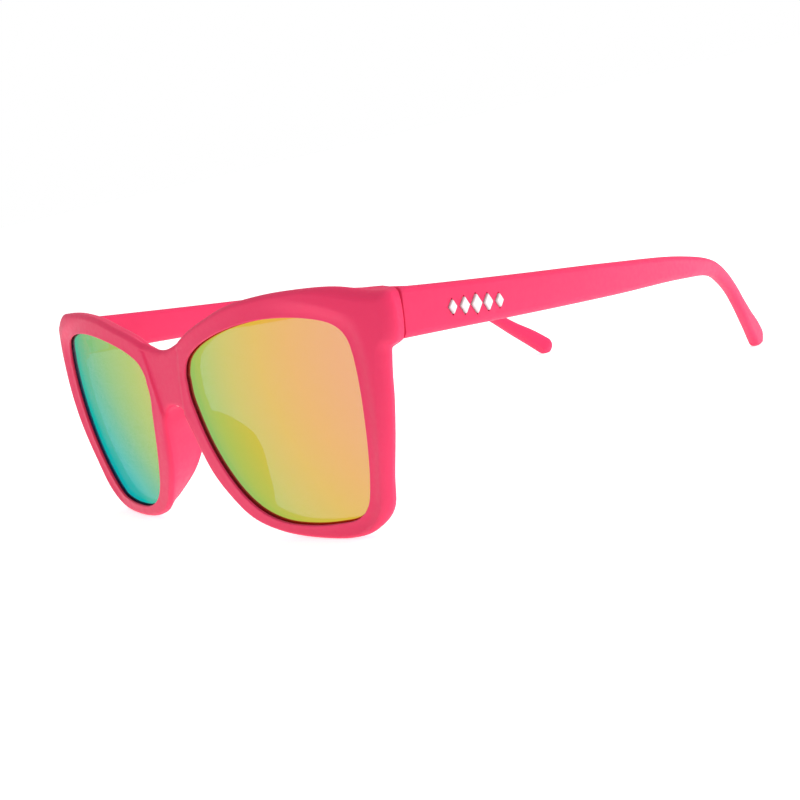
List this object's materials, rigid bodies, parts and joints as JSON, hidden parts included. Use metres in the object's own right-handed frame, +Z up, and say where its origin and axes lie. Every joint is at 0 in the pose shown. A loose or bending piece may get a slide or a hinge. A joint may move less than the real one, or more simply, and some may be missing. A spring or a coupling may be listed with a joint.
{
  "type": "cat eye sunglasses",
  "caption": "Cat-eye sunglasses with upswept outer corners, mirrored lenses, a moulded bridge with built-in nose pads, and wide temples that fold on barrel hinges.",
  "frame": {"origin": "centre of the flat panel on the front of the bridge", "axes": "+X towards the wearer's left, +Y from the front towards the temple tips, +Z up from the table the glasses stand on"},
  "size_m": [0.1368, 0.1526, 0.0506],
  "materials": {
    "pink_plastic": "soft-touch matt, moulded",
    "mirror_lens": "coloured mirror coating on a tinted lens",
    "hinge_steel": "satin",
    "white_accent": "satin"
  },
  "bodies": {
    "front": {"front_frame": "pink_plastic", "lens_left": "mirror_lens", "lens_right": "mirror_lens", "front_leaf_left": "hinge_steel", "front_leaf_right": "hinge_steel", "hinge_screw_left": "hinge_steel", "hinge_screw_right": "hinge_steel"},
    "temple_left": {"temple_left": "pink_plastic", "temple_leaf_left": "hinge_steel", "accent_pin_left_1": "white_accent", "accent_pin_left_2": "white_accent", "accent_pin_left_3": "white_accent", "accent_pin_left_4": "white_accent", "accent_pin_left_5": "white_accent"},
    "temple_right": {"temple_right": "pink_plastic", "temple_leaf_right": "hinge_steel", "accent_pin_right_1": "white_accent", "accent_pin_right_2": "white_accent", "accent_pin_right_3": "white_accent", "accent_pin_right_4": "white_accent", "accent_pin_right_5": "white_accent"}
  },
  "joints": [
    {"name": "left_fold", "type": "hinge", "parent": "front", "child": "temple_left", "pos_m": [0.0613, 0.01549, 0.00755], "axis": [-0.0698, 0.1457, 0.9869], "range_deg": [0, 82]},
    {"name": "right_fold", "type": "hinge", "parent": "front", "child": "temple_right", "pos_m": [-0.0613, 0.01549, 0.00755], "axis": [-0.0698, -0.1457, -0.9869], "range_deg": [0, 72]}
  ]
}
